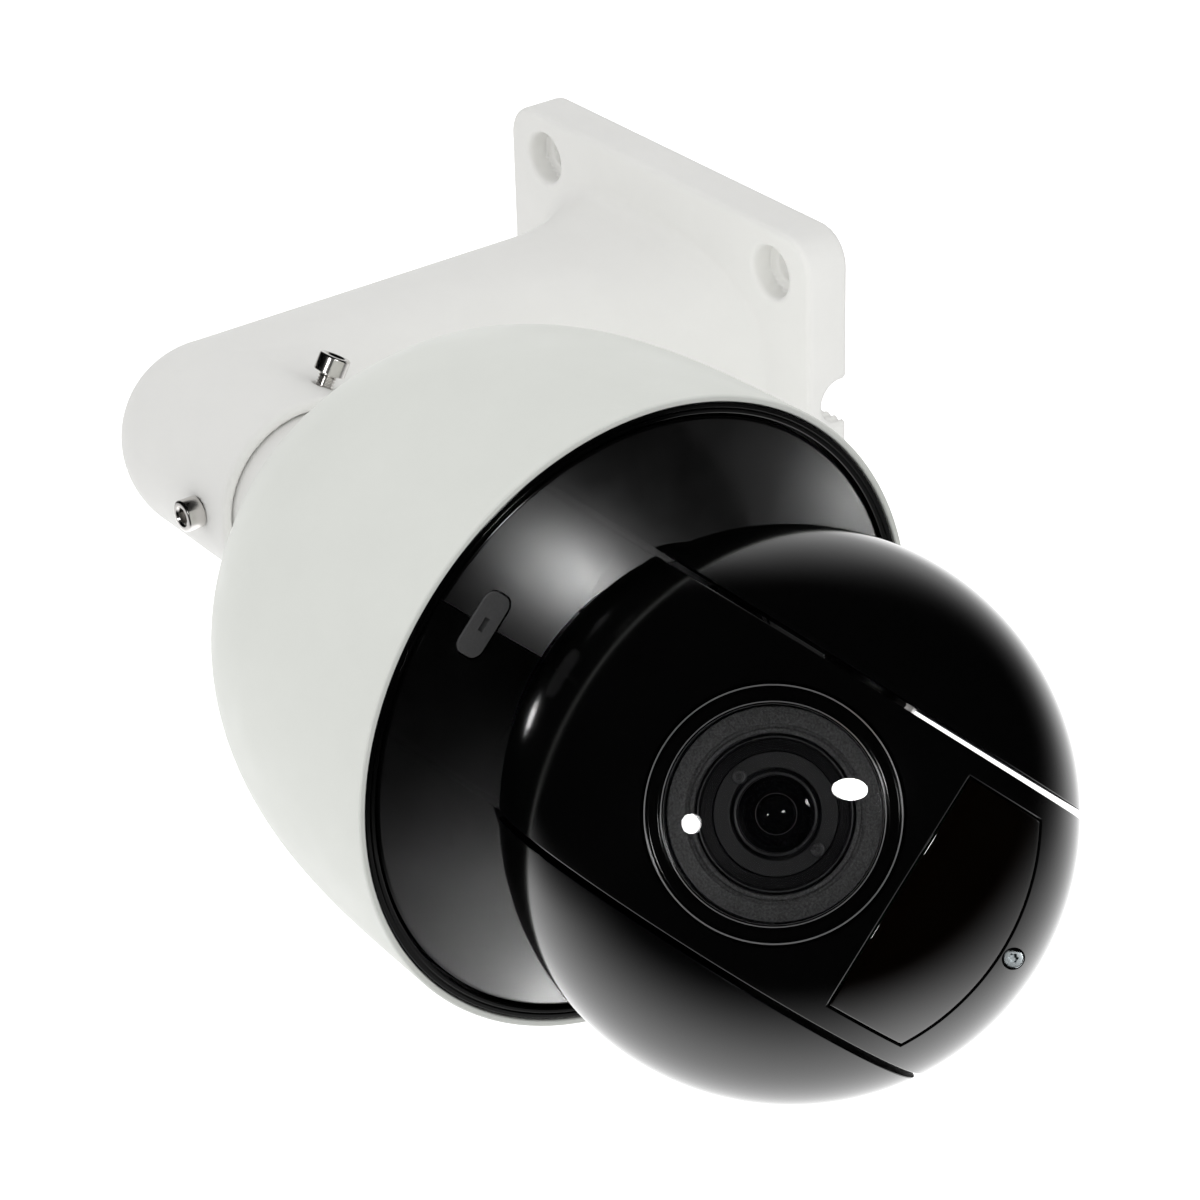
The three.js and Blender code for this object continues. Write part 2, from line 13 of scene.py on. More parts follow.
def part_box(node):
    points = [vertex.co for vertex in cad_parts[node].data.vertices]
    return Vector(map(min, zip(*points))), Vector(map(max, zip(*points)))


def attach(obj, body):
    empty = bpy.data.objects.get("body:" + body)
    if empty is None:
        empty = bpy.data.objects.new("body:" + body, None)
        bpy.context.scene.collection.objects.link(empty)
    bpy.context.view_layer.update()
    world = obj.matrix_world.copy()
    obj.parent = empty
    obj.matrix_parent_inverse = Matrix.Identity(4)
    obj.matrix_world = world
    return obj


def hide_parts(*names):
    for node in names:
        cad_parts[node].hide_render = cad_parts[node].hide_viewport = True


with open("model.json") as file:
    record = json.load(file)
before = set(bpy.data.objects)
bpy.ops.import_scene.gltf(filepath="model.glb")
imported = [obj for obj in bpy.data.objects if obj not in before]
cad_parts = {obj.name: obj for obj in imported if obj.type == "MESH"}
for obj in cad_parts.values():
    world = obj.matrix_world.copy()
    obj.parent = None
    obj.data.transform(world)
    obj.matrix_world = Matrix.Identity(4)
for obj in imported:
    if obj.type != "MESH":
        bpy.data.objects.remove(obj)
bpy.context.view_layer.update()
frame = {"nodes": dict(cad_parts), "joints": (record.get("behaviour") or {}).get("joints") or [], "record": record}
MM = 0.001

# ---- where things are, from the frame's joints and the lens ----
JOINTS = {joint["name"]: joint for joint in frame["joints"]}
RIM = Vector(JOINTS["pan"]["pos_m"])  # centre of the housing's rim, on the pan axis
BALL = Vector(JOINTS["tilt"]["pos_m"])  # centre of the ball
SIDE = Vector(JOINTS["tilt"]["axis"]).normalized()
UP = Vector((0, 0, 1))


def middle(node):
    low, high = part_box(node)
    return (low + high) / 2


def axes(origin, x, y, z):
    """A matrix from millimetres in a local frame to metres in the row frame."""
    turn = Matrix((x, y, z)).transposed().to_4x4()
    return Matrix.Translation(origin) @ turn @ Matrix.Scale(MM, 4)


look = middle("zoom_module") - middle("sensor_board")
look = (look - SIDE * look.dot(SIDE)).normalized()
BODY = axes(RIM, Vector((1, 0, 0)), Vector((0, 1, 0)), UP)
HEAD = axes(RIM, SIDE, UP.cross(SIDE), UP)
DRUM = axes(BALL, SIDE, -look, SIDE.cross(-look))
LENS_AXIS = DRUM @ Matrix.Rotation(math.radians(90), 4, "X")  # local +Z towards the lens's front

# ---- sizes shared by several pieces, millimetres ----
BALL_R = 64.4
WALL = 2.5
DRUM_HALF = 33.0
CAP_START = 34.6
HUB_HOLE = 12.4
SEAM = 4.0
LENS_HOLE = 27.4
IR_HALF, IR_TOP, IR_FRONT = 27.9, 30.5, 33.0
SCREW_DOWN = 58.3
TABLE_R, TABLE_Z0, TABLE_Z1, TABLE_LIP = 74.6, 0.8, 3.3, 9.0
OPENING, NECK_R = 39.0, 44.0
PLUG_LONG, PLUG_WIDE, PLUG_OUT = 15.9, 8.5, 59.9
REACH = -RIM.y / MM
DROP = -RIM.z / MM
ARM_RISE, ARM_R, CUP_R = 22.35, 26.7, 26.9
CLAMP_Z = 154.7
FLAT_FACE = 0.995  # how square a face is to an axis when it counts as a flat across it
FLAT_REACH = 45  # flats lie nearer the middle than this, the poles of the ball further out
FLOOR_DEPTH, FLOOR_HALF = 1.4, 60  # the floor's depth below the wall plate and half its side, metres
FILL = 1.03  # the world's even brightness, for surfaces that scatter light


# ---- camera: its place and its right and up directions, in the row frame ----
VIEW_FROM = Vector((0.4535, -0.5886, -0.7603))
VIEW_RIGHT = Vector((-0.0251, 0.8000, -0.5995))
VIEW_UP = Vector((0.8699, 0.3130, 0.3812))
VIEW_BACK = VIEW_RIGHT.cross(VIEW_UP)


def studio(x, y, z):
    """A direction given by the main view's right, up and back, in the row frame."""
    return (VIEW_RIGHT * x + VIEW_UP * y + VIEW_BACK * z).normalized()


def add_camera():
    data = bpy.data.cameras.new("camera")
    data.lens = 112.6
    data.sensor_width = 36
    camera = bpy.data.objects.new("camera", data)
    turn = Matrix((studio(1, 0, 0), studio(0, 1, 0), studio(0, 0, 1))).transposed().to_4x4()
    camera.matrix_world = Matrix.Translation(VIEW_FROM) @ turn
    bpy.context.scene.collection.objects.link(camera)
    bpy.context.scene.camera = camera
    return camera


# ---- materials ----
class Nodes:
    """A short way to write a node material."""

    def __init__(self, name):
        self.material = bpy.data.materials.new(name)
        self.material.use_nodes = True
        self.tree = self.material.node_tree
        self.bsdf = self.tree.nodes["Principled BSDF"]
        self.coords = self.tree.nodes.new("ShaderNodeTexCoord").outputs["Object"]

    def set(self, **values):
        for key, value in values.items():
            self.bsdf.inputs[key.replace("_", " ")].default_value = value
        return self

    def new(self, kind, **values):
        node = self.tree.nodes.new(kind)
        for key, value in values.items():
            if hasattr(node, key):
                setattr(node, key, value)
            else:
                node.inputs[key.replace("_", " ")].default_value = value
        return node

    def link(self, out, socket):
        self.tree.links.new(out, socket)

    def noise(self, scale, detail=3.0, roughness=0.5, stretch=None):
        source = self.coords
        if stretch:
            mapping = self.new("ShaderNodeMapping", Scale=stretch)
            self.link(source, mapping.inputs["Vector"])
            source = mapping.outputs["Vector"]
        node = self.new("ShaderNodeTexNoise", Scale=scale, Detail=detail, Roughness=roughness)
        self.link(source, node.inputs["Vector"])
        return node.outputs["Fac"]

    def ramp(self, source, low, high, start=0.35, end=0.65):
        """Colours, or greys where low and high are numbers, from low to high as source goes from start to end."""
        node = self.tree.nodes.new("ShaderNodeValToRGB")
        grey = isinstance(low, (int, float))
        for element, place, value in zip(node.color_ramp.elements, (start, end), (low, high)):
            element.position = place
            element.color = (value, value, value, 1) if grey else (*value, 1)
        self.link(source, node.inputs["Fac"])
        return node.outputs["Color"]

    def bump(self, source, distance, strength=1.0):
        previous = self.bsdf.inputs["Normal"].links
        node = self.new("ShaderNodeBump", Strength=strength, Distance=distance)
        if previous:
            self.link(previous[0].from_socket, node.inputs["Normal"])
        self.link(source, node.inputs["Height"])
        self.link(node.outputs["Normal"], self.bsdf.inputs["Normal"])
        return self

    def color(self, source):
        self.link(source, self.bsdf.inputs["Base Color"])
        return self

    def rough(self, source):
        self.link(source, self.bsdf.inputs["Roughness"])
        return self


def powder_coat(name, tint, rough):
    n = Nodes(name).set(Specular_IOR_Level=0.15)
    shade = [c * 0.965 for c in tint]
    n.color(n.ramp(n.noise(26, 5, 0.6), shade, tint, 0.3, 0.7))
    n.rough(n.ramp(n.noise(70, 4), rough - 0.05, rough + 0.06))
    n.bump(n.noise(1300, 2, 0.5), 0.00006, 0.35)
    n.bump(n.noise(240, 2, 0.4), 0.00012, 0.2)
    return n.material


def gloss_plastic(name, tint, rough, level=0.5):
    n = Nodes(name).set(Specular_IOR_Level=level)
    n.color(n.ramp(n.noise(40, 4), [c * 0.8 for c in tint], tint, 0.3, 0.7))
    n.rough(n.ramp(n.noise(55, 6, 0.65), rough * 0.85, rough * 1.2, 0.3, 0.75))
    n.bump(n.noise(90, 2, 0.4), 0.0002, 0.02)
    n.bump(n.noise(2600, 2, 0.5), 0.00001, 0.15)
    return n.material


def fine_matt(name, tint, rough, grain=1800, depth=0.00004, speckle=1.25):
    n = Nodes(name).set(Specular_IOR_Level=0.4)
    n.color(n.ramp(n.noise(grain, 2, 0.6), tint, [c * speckle for c in tint], 0.35, 0.7))
    n.rough(n.ramp(n.noise(120, 4), rough - 0.05, rough + 0.08))
    n.bump(n.noise(grain, 3, 0.6), depth, 0.6)
    return n.material


def metal(name, tint, rough, stretch=(1, 1, 30), brush=300, depth=0.000006):
    n = Nodes(name).set(Metallic=1.0)
    n.color(n.ramp(n.noise(160, 3), [c * 0.88 for c in tint], tint, 0.3, 0.7))
    n.rough(n.ramp(n.noise(brush, 3, 0.5, stretch), rough * 0.75, rough * 1.35, 0.3, 0.7))
    n.bump(n.noise(brush, 3, 0.5, stretch), depth, 0.6)
    return n.material


def circuit_board(name):
    n = Nodes(name).set(Specular_IOR_Level=0.5)
    brick = n.new("ShaderNodeTexBrick", Scale=240, Mortar_Size=0.03, Brick_Width=0.9, Row_Height=0.35)
    brick.inputs["Color1"].default_value = (0.02, 0.12, 0.05, 1)
    brick.inputs["Color2"].default_value = (0.025, 0.15, 0.065, 1)
    brick.inputs["Mortar"].default_value = (0.05, 0.22, 0.10, 1)
    n.link(n.coords, brick.inputs["Vector"])
    n.color(brick.outputs["Color"])
    n.rough(n.ramp(n.noise(90, 3), 0.3, 0.45))
    n.bump(brick.outputs["Fac"], 0.00003, 0.5)
    return n.material


def glass(name, tint, transmission, rough, ior=1.5):
    n = Nodes(name).set(Transmission_Weight=transmission, IOR=ior)
    n.color(n.ramp(n.noise(30, 2), [c * 0.94 for c in tint], tint, 0.3, 0.7))
    n.rough(n.ramp(n.noise(60, 5, 0.6), rough, rough + 0.015, 0.45, 0.8))
    n.bump(n.noise(45, 1), 0.0001, 0.01)
    return n.material


def cover_glass(name):
    """Thin clear glass: mostly see-through, with the gloss of both its faces."""
    n = Nodes(name).set(Alpha=0.3, IOR=2.1)
    n.color(n.ramp(n.noise(30, 2), (0.003, 0.003, 0.004), (0.004, 0.004, 0.005), 0.3, 0.7))
    n.rough(n.ramp(n.noise(60, 5, 0.6), 0.0, 0.012, 0.45, 0.8))
    n.bump(n.noise(45, 1), 0.0001, 0.01)
    return n.material


MATERIALS = {
    "bracket_paint": powder_coat("bracket powder coat", (0.80, 0.797, 0.777), 0.5),
    "housing_paint": powder_coat("housing powder coat", (0.765, 0.78, 0.74), 0.45),
    "black_gloss": gloss_plastic("black gloss plastic", (0.0014, 0.0014, 0.0015), 0.12),
    "black_matt": fine_matt("black matt plastic", (0.008, 0.008, 0.0085), 0.42),
    "grey_rubber": fine_matt("grey rubber", (0.075, 0.075, 0.076), 0.6, 1400, 0.00003, 1.15),
    "steel": metal("turned stainless steel", (0.72, 0.70, 0.68), 0.2),
    "aluminium": metal("machined aluminium", (0.66, 0.67, 0.68), 0.32),
    "motor_metal": metal("dark plated metal", (0.12, 0.12, 0.125), 0.4),
    "circuit_board": circuit_board("green circuit board"),
    "clear_glass": cover_glass("coated clear glass"),
    "ir_glass": gloss_plastic("dark infrared filter", (0.0015, 0.0009, 0.0006), 0.03, 0.9),
    "lamp_dome": glass("clear moulded dome", (0.9, 0.9, 0.9), 0.9, 0.05, 1.45),
    "grey_shroud": fine_matt("grey textured ring", (0.12, 0.12, 0.12), 0.44, 2200, 0.0001, 2.2),
    "black_satin": gloss_plastic("black satin plastic", (0.0011, 0.0011, 0.0012), 0.13),
    "slit_black": gloss_plastic("black satin slit face", (0.003, 0.003, 0.0032), 0.45, 0.08),
    "screw_zinc": metal("zinc plated screw", (0.72, 0.78, 0.8), 0.45),
    # Grey for the lens screws, and painted highlight on the thin rings laid over the lens's black gloss edges
    "grey_satin": gloss_plastic("grey satin screw and painted ring highlight", (0.13, 0.13, 0.133), 0.3, 1.0),
    "dark_satin": gloss_plastic("dark satin ring", (0.075, 0.075, 0.076), 0.4),
    "lens_black": gloss_plastic("black lens glass", (0.0015, 0.0015, 0.002), 0.01),
}


# ---- mesh helpers ----
def smooth_outline(corners, steps=5):
    """Corners are (r, z) or (r, z, fillet radius); the outline is open. Returns points with the fillets drawn."""
    points = []
    last = len(corners) - 1
    for i, corner in enumerate(corners):
        here = np.array(corner[:2], float)
        radius = corner[2] if len(corner) > 2 else 0
        if not radius or i in (0, last):
            points.append(here)
            continue
        back = np.array(corners[i - 1][:2], float) - here
        ahead = np.array(corners[i + 1][:2], float) - here
        back /= np.linalg.norm(back)
        ahead /= np.linalg.norm(ahead)
        half = math.acos(max(-1, min(1, float(back @ ahead)))) / 2
        inset = radius / math.tan(half)
        start, end = here + back * inset, here + ahead * inset
        centre = here + (back + ahead) / np.linalg.norm(back + ahead) * radius / math.sin(half)
        a, b = start - centre, end - centre
        swing = math.acos(max(-1, min(1, float(a @ b) / radius**2)))
        for k in range(steps + 1):
            t = k / steps
            points.append(centre + (math.sin((1 - t) * swing) * a + math.sin(t * swing) * b) / math.sin(swing))
    return [tuple(p) for p in points]


def arc(radius, start, end, steps, centre=(0, 0)):
    """Points of an arc from one angle to another, in degrees."""
    turns = np.radians(np.linspace(start, end, steps + 1))
    return [(centre[0] + radius * math.cos(a), centre[1] + radius * math.sin(a)) for a in turns]


def lathe(outline, segments=128, closed=True):
    """Vertices and faces of an (r, z) outline turned about Z. A closed outline joins its ends off the axis."""
    points = [p for i, p in enumerate(outline) if i == 0 or math.dist(p, outline[i - 1]) > 1e-6]
    verts, rows = [], []
    for r, z in points:
        if r < 1e-6:
            rows.append([len(verts)] * segments)
            verts.append((0, 0, z))
            continue
        rows.append(list(range(len(verts), len(verts) + segments)))
        for k in range(segments):
            a = 2 * math.pi * k / segments
            verts.append((r * math.cos(a), r * math.sin(a), z))
    if closed and points[0][0] > 1e-6 and points[-1][0] > 1e-6:
        rows.append(rows[0])
    faces = []
    for low, high in zip(rows, rows[1:]):
        for k in range(segments):
            j = (k + 1) % segments
            corners = []
            for index in (low[k], low[j], high[j], high[k]):
                if index not in corners:
                    corners.append(index)
            if len(corners) > 2:
                faces.append(tuple(corners))
    return verts, faces


def mesh_of(name, shape, matrix=Matrix.Identity(4)):
    mesh = bpy.data.meshes.new(name)
    mesh.from_pydata(shape[0], [], shape[1])
    mesh.transform(matrix)
    mesh.validate()
    return mesh


def loose(name, shape, matrix=Matrix.Identity(4)):
    """An object in the scene with no body yet, its faces turned out."""
    obj = bpy.data.objects.new(name, mesh_of(name, shape, matrix))
    bpy.context.scene.collection.objects.link(obj)
    tidy = bmesh.new()
    tidy.from_mesh(obj.data)
    bmesh.ops.recalc_face_normals(tidy, faces=tidy.faces)
    tidy.to_mesh(obj.data)
    tidy.free()
    return obj


def boolean(obj, operation, *others):
    """Cuts, joins or meets obj with others, and removes them."""
    bpy.context.view_layer.update()
    for other in others:
        modifier = obj.modifiers.new("boolean", "BOOLEAN")
        modifier.operation = operation
        modifier.solver = "EXACT"
        modifier.object = other
        graph = bpy.context.evaluated_depsgraph_get()
        mesh = bpy.data.meshes.new_from_object(obj.evaluated_get(graph))
        obj.modifiers.clear()
        obj.data = mesh
        bpy.data.objects.remove(other)
    return obj


def clean(obj, distance=0.004):
    """Merges the slivers that cuts leave. Distance is in the mesh's own units."""
    tidy = bmesh.new()
    tidy.from_mesh(obj.data)
    bmesh.ops.remove_doubles(tidy, verts=tidy.verts, dist=distance)
    bmesh.ops.dissolve_degenerate(tidy, edges=tidy.edges, dist=distance)
    tidy.to_mesh(obj.data)
    tidy.free()
    return obj


def finish(obj, matrix, body, slot, replaced, material=None, angle=32, round_normals=None, flats=()):
    """Puts a piece made in millimetres in its place, with smooth shading, a material and a body.

    Flats are pairs of an axis and a material, for the flat faces across that axis."""
    mesh = obj.data
    flat = [[face.index for face in mesh.polygons
             if abs(face.normal[axis]) > FLAT_FACE and abs(face.center[axis]) < FLAT_REACH] for axis, _ in flats]
    mesh.transform(matrix)
    if matrix.determinant() < 0:
        mesh.flip_normals()
    mesh.shade_smooth()
    mesh.set_sharp_from_angle(angle=math.radians(angle))
    weight = obj.modifiers.new("even shading", "WEIGHTED_NORMAL")
    weight.keep_sharp = True
    weight.weight = 100
    if round_normals:
        graph = bpy.context.evaluated_depsgraph_get()
        normals = [tuple(n.vector) for n in obj.evaluated_get(graph).data.corner_normals]
        obj.modifiers.clear()
        round_normals(mesh, normals)
    mesh.materials.clear()
    mesh.materials.append(MATERIALS[material or slot])
    for number, ((_, other), indices) in enumerate(zip(flats, flat), 1):
        mesh.materials.append(MATERIALS[other])
        for index in indices:
            mesh.polygons[index].material_index = number
    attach(obj, body)
    if replaced:
        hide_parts(*([replaced] if isinstance(replaced, str) else replaced))
    return obj


def turned_piece(name, outline, matrix, body, slot, replaced=None, segments=128, material=None, angle=32):
    obj = loose(name, lathe(outline, segments))
    return finish(obj, matrix, body, slot, replaced, material, angle)


def ball_normals(centre, radii):
    """Sets exact normals on faces that lie on spheres round centre; radii are signed, negative for hollow ones."""
    def apply(mesh, normals):
        for face in mesh.polygons:
            reach = [(mesh.vertices[v].co - centre).length / MM for v in face.vertices]
            for radius in radii:
                if all(abs(d - abs(radius)) < 0.02 for d in reach):
                    for loop, v in zip(face.loop_indices, face.vertices):
                        away = (mesh.vertices[v].co - centre).normalized()
                        normals[loop] = tuple(away if radius > 0 else -away)
        mesh.normals_split_custom_set(normals)
    return apply


def block(x0, x1, y0, y1, z0, z1):
    verts = [(x, y, z) for x in (x0, x1) for y in (y0, y1) for z in (z0, z1)]
    return verts, [(0, 1, 3, 2), (4, 6, 7, 5), (0, 4, 5, 1), (2, 3, 7, 6), (0, 2, 6, 4), (1, 5, 7, 3)]


def stack(loops):
    """Vertices and faces of a solid through closed loops of points, with flat ends."""
    count = len(loops[0])
    verts = [p for loop in loops for p in loop]
    faces = [tuple(range(count)), tuple(range(len(verts) - 1, len(verts) - count - 1, -1))]
    for base in range(0, count * (len(loops) - 1), count):
        for k in range(count):
            j = (k + 1) % count
            faces.append((base + k, base + count + k, base + count + j, base + j))
    return verts, faces


def rounded_rectangle(width, height, corner, steps=8):
    x, y = width / 2 - corner, height / 2 - corner
    centres = [(x, y, 0), (-x, y, 90), (-x, -y, 180), (x, -y, 270)]
    return [p for cx, cy, turn in centres for p in arc(corner, turn, turn + 90, steps, (cx, cy))]


# ---- wall bracket: one casting, as a distance field with soft joins ----
def smooth_min(a, b, k):
    h = np.clip(k - np.abs(a - b), 0, None) / np.maximum(k, 1e-6)
    return np.minimum(a, b) - h * h * k / 4


def smooth_cut(a, b, k):
    return -smooth_min(-a, b, k)


def slab_field(u, v, w, half_u, half_v, half_w, corner, edge):
    """A plate across w with rounded corners in the u, v plane and rounded edges."""
    qu, qv = np.abs(u) - half_u + corner, np.abs(v) - half_v + corner
    flat = np.hypot(np.maximum(qu, 0), np.maximum(qv, 0)) + np.minimum(np.maximum(qu, qv), 0) - corner + edge
    deep = np.abs(w) - half_w + edge
    return np.minimum(np.maximum(flat, deep), 0) + np.hypot(np.maximum(flat, 0), np.maximum(deep, 0)) - edge


def arm_field(x, y, z):
    """The round arm that swells into the plate, most of all downwards, with a ball end on the pan axis."""
    distance = np.clip(-y - 13.6, 0, REACH)
    swell = lambda length, power: np.clip(1 - distance / length, 0, 1) ** power
    rise = z - ARM_RISE
    half = ARM_R + 6 * swell(25, 2.5)
    high = ARM_R + 4 * swell(14, 2)
    low = ARM_R + 42 * swell(62, 2.6)
    tall = np.where(rise > 0, high, low)
    power = np.where(rise > 0, 2.0, 2 + swell(62, 2))
    reach = np.sqrt(x * x + rise * rise + np.minimum(y + REACH, 0) ** 2)
    across = np.hypot(x, rise) + 1e-9
    edge = ((np.abs(x) / across / half) ** power + (np.abs(rise) / across / tall) ** power) ** (-1 / power)
    return np.maximum(reach - edge, y)


def bracket_field(p):
    x, y, z = p[..., 0], p[..., 1], p[..., 2]
    rise = z - ARM_RISE
    forward = y + REACH
    solid = smooth_min(slab_field(x, z, y + 6.8, 49, 67, 6.8, 10, 1.3), arm_field(x, y, z), 4.0)
    cup_r = ARM_R + (CUP_R - ARM_R) * np.clip(-rise / 24, 0, 1)
    cup = np.sqrt(x * x + forward * forward + np.maximum(rise, 0) ** 2) - cup_r
    cup = -smooth_min(-cup, z + DROP - 143, 1.6)
    square = 1 - x * x / (np.hypot(x, rise) * np.hypot(x, forward) + 1e-6)
    crotch = np.clip(np.minimum(forward, -rise) / 12, 0, 1)
    solid = smooth_min(solid, cup, 0.2 + 24 * crotch * np.clip(square, 0, 1))
    bore = np.sqrt(x * x + rise * rise + np.minimum(forward, 0) ** 2) - 19.8
    bore = np.maximum(bore, y + 7.6)
    down_bore = np.sqrt(x * x + forward * forward + np.maximum(rise, 0) ** 2) - 21
    mouth = np.maximum(np.hypot(x, forward) - 23.7, z + DROP - 147)
    solid = smooth_cut(solid, np.minimum(bore, down_bore), 0.6)
    solid = smooth_cut(solid, mouth, 0.9)
    pocket = slab_field(x, z, y - 6, 27, 50, 15, 3, 1)
    solid = smooth_cut(solid, pocket, 1.2)
    hole_x, hole_z = np.abs(x) - 36, np.abs(z) - 51
    ring = np.hypot(hole_x, hole_z)
    solid = smooth_cut(solid, np.maximum(ring - 7.25, y + 7.6), 1.6)
    solid = smooth_cut(solid, ring - 4, 0.8)
    wave = 0.45 * np.cos(2 * math.pi * z / 3.2)
    notch = np.maximum(np.hypot(x, y + 1.8) - 6.7 - wave, z + 48)
    solid = smooth_cut(solid, notch, 1.0)
    for turn in (30, 150, 270):
        along = (math.cos(math.radians(turn)), math.sin(math.radians(turn)))
        out = x * along[0] + forward * along[1]
        tap = np.hypot(x * along[1] - forward * along[0], z + DROP - CLAMP_Z) - 2.8
        solid = smooth_cut(solid, np.maximum(tap, 15 - out), 0.5)
    return solid


def surface_net(field, low, high, step):
    """The field's zero surface as quads, one vertex to a cell, moved onto the surface, with exact normals."""
    counts = [int(math.ceil((b - a) / step)) + 1 for a, b in zip(low, high)]
    lines = [a + step * np.arange(n) for a, n in zip(low, counts)]
    grid = np.stack(np.meshgrid(*lines, indexing="ij"), axis=-1)
    values = field(grid).astype(np.float32)
    del grid
    corners = [(i, j, k) for i in (0, 1) for j in (0, 1) for k in (0, 1)]
    cells = [n - 1 for n in counts]
    window = lambda c, a: a[c[0]:c[0] + cells[0], c[1]:c[1] + cells[1], c[2]:c[2] + cells[2]]
    inside = sum(window(c, values < 0).astype(np.int8) for c in corners)
    where = np.argwhere((inside > 0) & (inside < 8))
    number = -np.ones(cells, np.int64)
    number[tuple(where.T)] = np.arange(len(where))
    total, crossings = np.zeros((len(where), 3)), np.zeros(len(where))
    for a in corners:
        for axis in range(3):
            if a[axis]:
                continue
            b = tuple(v + (i == axis) for i, v in enumerate(a))
            fa = values[tuple((where + a).T)]
            fb = values[tuple((where + b).T)]
            cross = (fa < 0) != (fb < 0)
            t = np.where(cross, fa / np.where(cross, fa - fb, 1), 0)
            point = np.array(a, float) + t[:, None] * (np.array(b) - np.array(a))
            total += point * cross[:, None]
            crossings += cross
    verts = np.array(low) + step * (where + total / crossings[:, None])
    faces = []
    for axis in range(3):
        ahead = [slice(None)] * 3
        behind = [slice(None)] * 3
        ahead[axis], behind[axis] = slice(1, None), slice(None, -1)
        enters = values[tuple(behind)] < 0
        edges = np.argwhere(enters != (values[tuple(ahead)] < 0))
        u, v = (axis + 1) % 3, (axis + 2) % 3
        ring = []
        for du, dv in ((0, 0), (-1, 0), (-1, -1), (0, -1)):
            cell = edges.copy()
            cell[:, u] += du
            cell[:, v] += dv
            ring.append(number[tuple(cell.T)])
        quad = np.stack(ring, axis=1)
        out = enters[tuple(edges.T)]
        quad[~out] = quad[~out][:, ::-1]
        faces.append(quad)

    def gradient(points):
        shift = 0.02
        offsets = np.eye(3) * shift
        return np.stack([field(points + o) - field(points - o) for o in offsets], axis=-1) / (2 * shift)

    for _ in range(4):
        slope = gradient(verts)
        verts = verts - slope * (field(verts) / np.maximum((slope**2).sum(-1), 0.05))[:, None]
    slope = gradient(verts)
    normals = slope / np.linalg.norm(slope, axis=1)[:, None]
    return verts, np.concatenate(faces), normals


def bracket():
    step = 1.0
    verts, faces, normals = surface_net(bracket_field, (-51.3, -172.4, -69.4), (51.3, 2.3, 69.4), step)
    verts[:, 1] = np.minimum(verts[:, 1], 0)
    mesh = bpy.data.meshes.new("wall bracket casting")
    mesh.from_pydata((verts * MM).tolist(), [], faces.tolist())
    mesh.shade_smooth()
    mesh.validate()
    mesh.normals_split_custom_set_from_vertices(normals.tolist())
    mesh.materials.append(MATERIALS["bracket_paint"])
    obj = bpy.data.objects.new("bracket_casting", mesh)
    bpy.context.scene.collection.objects.link(obj)
    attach(obj, "root")
    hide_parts("wall_bracket")
    return obj


# ---- neck and clamp screws ----
def neck():
    outline = smooth_outline([
        (15, 136.3), (20.3, 136.3), (20.3, 134, 0.2), (23.3, 134, 0.5), (23.3, 146.7, 0.4), (20.7, 146.7, 0.4),
        (20.7, 151.7, 0.3), (18.5, 151.7), (18.5, 157.7), (20.7, 157.7, 0.3), (20.7, 172, 0.8), (15, 172, 0.5),
        (15, 136.3),
    ])
    turned_piece("neck_collar_turned", outline, BODY, "root", "bracket_paint", "neck_collar")


def hexagon(across, z):
    radius = across / math.sqrt(3)
    return [(radius * math.cos(math.radians(60 * k)), radius * math.sin(math.radians(60 * k)), z) for k in range(6)]


def clamp_screw(name, turn, seat):
    """A socket head cap screw along local Z, its head's underside at seat."""
    top = seat + 4.8
    thread = []
    z = seat - 7.0
    while z < seat - 0.6:
        thread += [(2.15, z), (2.45, z + 0.2), (2.45, z + 0.35), (2.15, z + 0.55)]
        z += 0.8
    outline = smooth_outline([(0, seat - 7.3), (1.8, seat - 7.3)]) + thread + smooth_outline([
        (2.5, seat - 0.4), (2.5, seat, 0.12), (4.25, seat, 0.15), (4.25, top, 0.55), (2.75, top, 0.2), (2.3, top - 0.5),
        (0, top - 0.5),
    ])
    obj = loose(name, lathe(outline, 64))
    socket = loose("socket", stack([hexagon(4.0, z) for z in (top - 2.9, top + 1)]))
    boolean(obj, "DIFFERENCE", socket)
    place = Matrix.Translation((0, 0, CLAMP_Z)) @ Matrix.Rotation(math.radians(turn), 4, "Z")
    place = place @ Matrix.Rotation(math.radians(90), 4, "Y")
    finish(obj, BODY @ place, "root", "steel", "clamp_screw_" + name.split("_")[-1], angle=25)


def clamp_screws():
    for name, turn, lift in (("front", 270, 0), ("left", 150, 0), ("right", 30, 3.2)):
        clamp_screw("socket_screw_" + name, turn, CUP_R + 0.3 + lift)


# ---- fixed housing ----
def bezier(points, steps):
    """A Bezier curve of any degree, without its first point."""
    curve = []
    degree = len(points) - 1
    for k in range(1, steps + 1):
        t = k / steps
        weights = [math.comb(degree, i) * t**i * (1 - t) ** (degree - i) for i in range(degree + 1)]
        curve.append(tuple(sum(w * p[axis] for w, p in zip(weights, points)) for axis in (0, 1)))
    return curve


def housing():
    lip = smooth_outline([(78.3, 6.0), (78.3, 0, 0.45), (80, 0, 0.6), (79.6, 14)])
    flare = bezier([(79.6, 14), (78.7, 48), (75.7, 73.5), (60.5, 93)], 26)
    shoulder = bezier([(60.5, 93), (44.1, 114.1), (24.2, 133.5)], 16)
    outer = flare + shoulder
    inner = []
    for (r0, z0), (r1, z1) in zip(outer, outer[1:]):
        length = math.hypot(r1 - r0, z1 - z0)
        inner.append((r0 - 3 * (z1 - z0) / length, z0 + 3 * (r1 - r0) / length))
    inner = [p for p in inner if p[1] < 130]
    outline = lip[:-1] + outer + [(14, 133.5), (14, 130.5), (24, 130.5)] + inner[::-1] + [(76.6, 6), (78.3, 6)]
    turned_piece("housing_bell", outline, BODY, "root", "housing_paint", "housing_shell", 192, angle=40)


